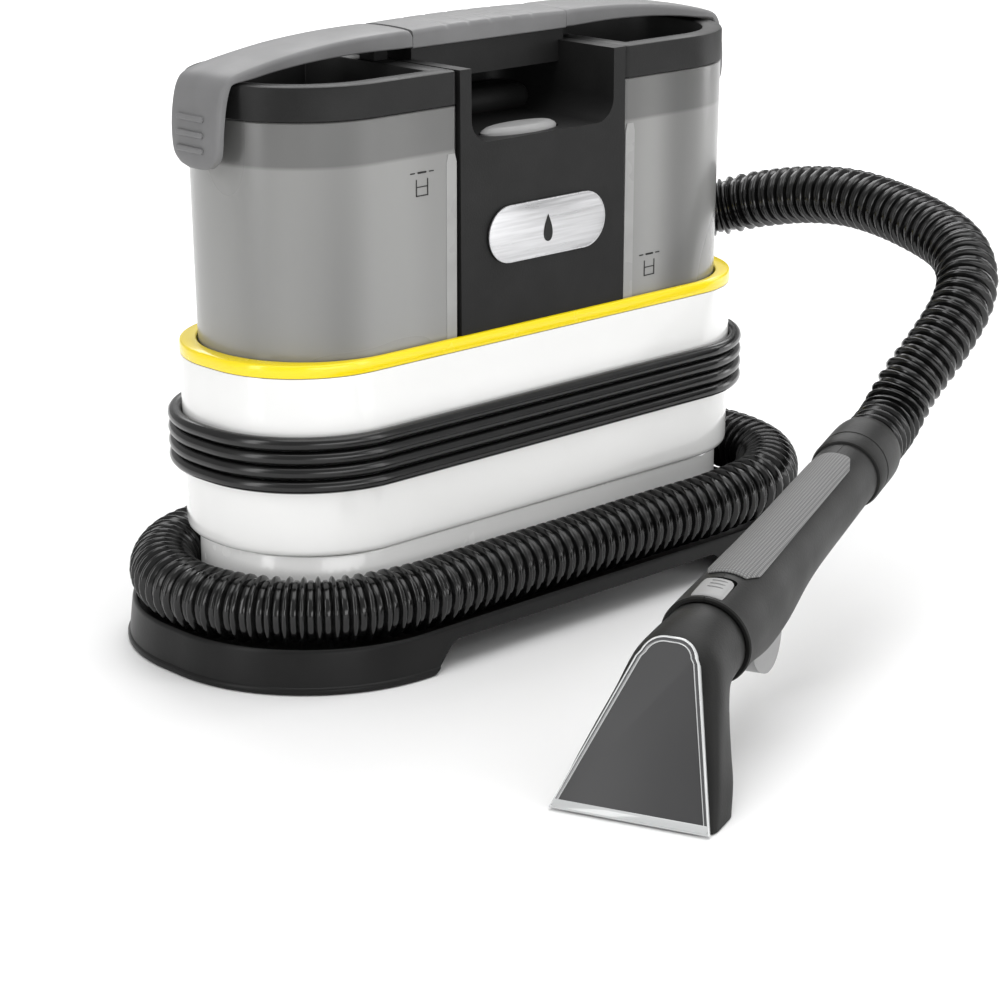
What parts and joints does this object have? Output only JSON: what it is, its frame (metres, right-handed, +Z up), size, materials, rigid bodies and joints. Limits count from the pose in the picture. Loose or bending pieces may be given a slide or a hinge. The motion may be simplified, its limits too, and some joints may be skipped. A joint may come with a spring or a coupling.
{
  "type": "carpet cleaner machine",
  "caption": "Compact carpet and upholstery spot cleaner: oval base with a wrapped suction hose, twin lift-out tanks, carry handle, wound power cord and a hand tool resting on the floor.",
  "frame": {"origin": "on the floor, below the centre of the box round the machine and its hand tool, without the hose and power cord", "axes": "+X along the machine's long side, towards the dirty tank; +Y from the front with the power button to the back; +Z up"},
  "size_m": [0.5386, 0.458, 0.33],
  "materials": {
    "tray_plastic": "matte",
    "foot_rubber": "matte",
    "white_plastic": "gloss",
    "yellow_plastic": "gloss",
    "charcoal_plastic": "fine texture",
    "tank_smoke": "frosted",
    "grey_plastic": "satin",
    "pale_grey_plastic": "satin",
    "hose_plastic": "gloss",
    "cord_rubber": "gloss",
    "badge_metal": "brushed",
    "steel": "satin",
    "brass": "satin",
    "clear_window": "gloss",
    "inner_plastic": "matte"
  },
  "bodies": {
    "root": {"base_tray": "tray_plastic", "foot_pad_1": "foot_rubber", "foot_pad_2": "foot_rubber", "foot_pad_3": "foot_rubber", "foot_pad_4": "foot_rubber", "plinth": "white_plastic", "main_shell": "white_plastic", "accent_ring": "yellow_plastic", "tower_housing": "charcoal_plastic", "rear_cover": "charcoal_plastic", "hose_port": "charcoal_plastic", "hose_clip": "charcoal_plastic", "grip_left": "charcoal_plastic", "grip_right": "charcoal_plastic", "hose_cuff": "charcoal_plastic", "spray_tip": "charcoal_plastic", "handle_centre": "grey_plastic", "grip_pad": "grey_plastic", "suction_hose": "hose_plastic", "cable_gland": "cord_rubber", "cord_lead": "cord_rubber", "cord_winding": "cord_rubber", "cord_tail": "cord_rubber", "power_plug": "cord_rubber", "water_line": "cord_rubber", "badge_plate": "badge_metal", "motor_can": "steel", "trigger_pin": "steel", "spray_valve": "brass", "tank_deck": "inner_plastic", "power_switch": "inner_plastic", "fan_housing": "inner_plastic", "water_pump": "inner_plastic", "dirt_duct": "inner_plastic", "air_duct": "inner_plastic", "suction_pipe": "inner_plastic"},
    "fresh_tank_body": {"fresh_tank": "tank_smoke"},
    "fresh_lid_body": {"fresh_lid": "charcoal_plastic", "fresh_hinge_pin": "steel"},
    "fresh_latch_body": {"fresh_latch_arm": "grey_plastic"},
    "fresh_valve_body": {"fresh_valve": "pale_grey_plastic"},
    "dirty_tank_body": {"dirty_tank": "tank_smoke", "dirt_riser": "inner_plastic", "air_riser": "inner_plastic"},
    "dirty_lid_body": {"dirty_lid": "charcoal_plastic", "dirty_hinge_pin": "steel", "float_rod": "inner_plastic"},
    "dirty_latch_body": {"dirty_latch_arm": "grey_plastic"},
    "dirty_float_body": {"dirty_float": "yellow_plastic"},
    "power_button_body": {"power_button": "pale_grey_plastic"},
    "rotor_body": {"motor_rotor": "steel"},
    "trigger_body": {"spray_trigger": "pale_grey_plastic"},
    "release_body": {"release_button": "pale_grey_plastic"},
    "nozzle_body_group": {"nozzle_body": "charcoal_plastic", "nozzle_window": "clear_window"}
  },
  "joints": [
    {"name": "fresh_tank_lift", "type": "slide", "parent": "root", "child": "fresh_tank_body", "axis": [0, 0, 1], "range_m": [0, 0.17]},
    {"name": "fresh_lid_lift", "type": "slide", "parent": "fresh_tank_body", "child": "fresh_lid_body", "axis": [0, 0, 1], "range_m": [0, 0.06]},
    {"name": "fresh_latch_open", "type": "hinge", "parent": "fresh_lid_body", "child": "fresh_latch_body", "pos_m": [-0.0655, 0.121, 0.3262], "axis": [0, 1, 0], "range_deg": [0, 75]},
    {"name": "fresh_valve_lift", "type": "slide", "parent": "fresh_tank_body", "child": "fresh_valve_body", "axis": [0, 0, 1], "range_m": [0, 0.003], "stiffness_N_per_m": 200},
    {"name": "dirty_tank_lift", "type": "slide", "parent": "root", "child": "dirty_tank_body", "axis": [0, 0, 1], "range_m": [0, 0.17]},
    {"name": "dirty_lid_lift", "type": "slide", "parent": "dirty_tank_body", "child": "dirty_lid_body", "axis": [0, 0, 1], "range_m": [0, 0.09]},
    {"name": "dirty_latch_open", "type": "hinge", "parent": "dirty_lid_body", "child": "dirty_latch_body", "pos_m": [0.0655, 0.121, 0.3262], "axis": [0, -1, 0], "range_deg": [0, 75]},
    {"name": "dirty_float_rise", "type": "slide", "parent": "dirty_lid_body", "child": "dirty_float_body", "axis": [0, 0, 1], "range_m": [0, 0.057]},
    {"name": "power_button_press", "type": "slide", "parent": "root", "child": "power_button_body", "axis": [0, 0, -1], "range_m": [0, 0.003], "stiffness_N_per_m": 500},
    {"name": "motor_spin", "type": "hinge", "parent": "root", "child": "rotor_body", "pos_m": [0, 0.121, 0.031], "axis": [0, 0, 1], "continuous": true},
    {"name": "trigger_squeeze", "type": "hinge", "parent": "root", "child": "trigger_body", "pos_m": [-0.04165, -0.12893, 0.037], "axis": [0.3665, -0.9304, 0], "range_deg": [0, 8], "stiffness_Nm_per_rad": 0.4},
    {"name": "release_press", "type": "slide", "parent": "root", "child": "release_body", "axis": [0, 0, -1], "range_m": [0, 0.0012], "stiffness_N_per_m": 500},
    {"name": "nozzle_pull", "type": "slide", "parent": "root", "child": "nozzle_body_group", "axis": [-0.9239, -0.3639, -0.1184], "range_m": [0, 0.06]}
  ]
}
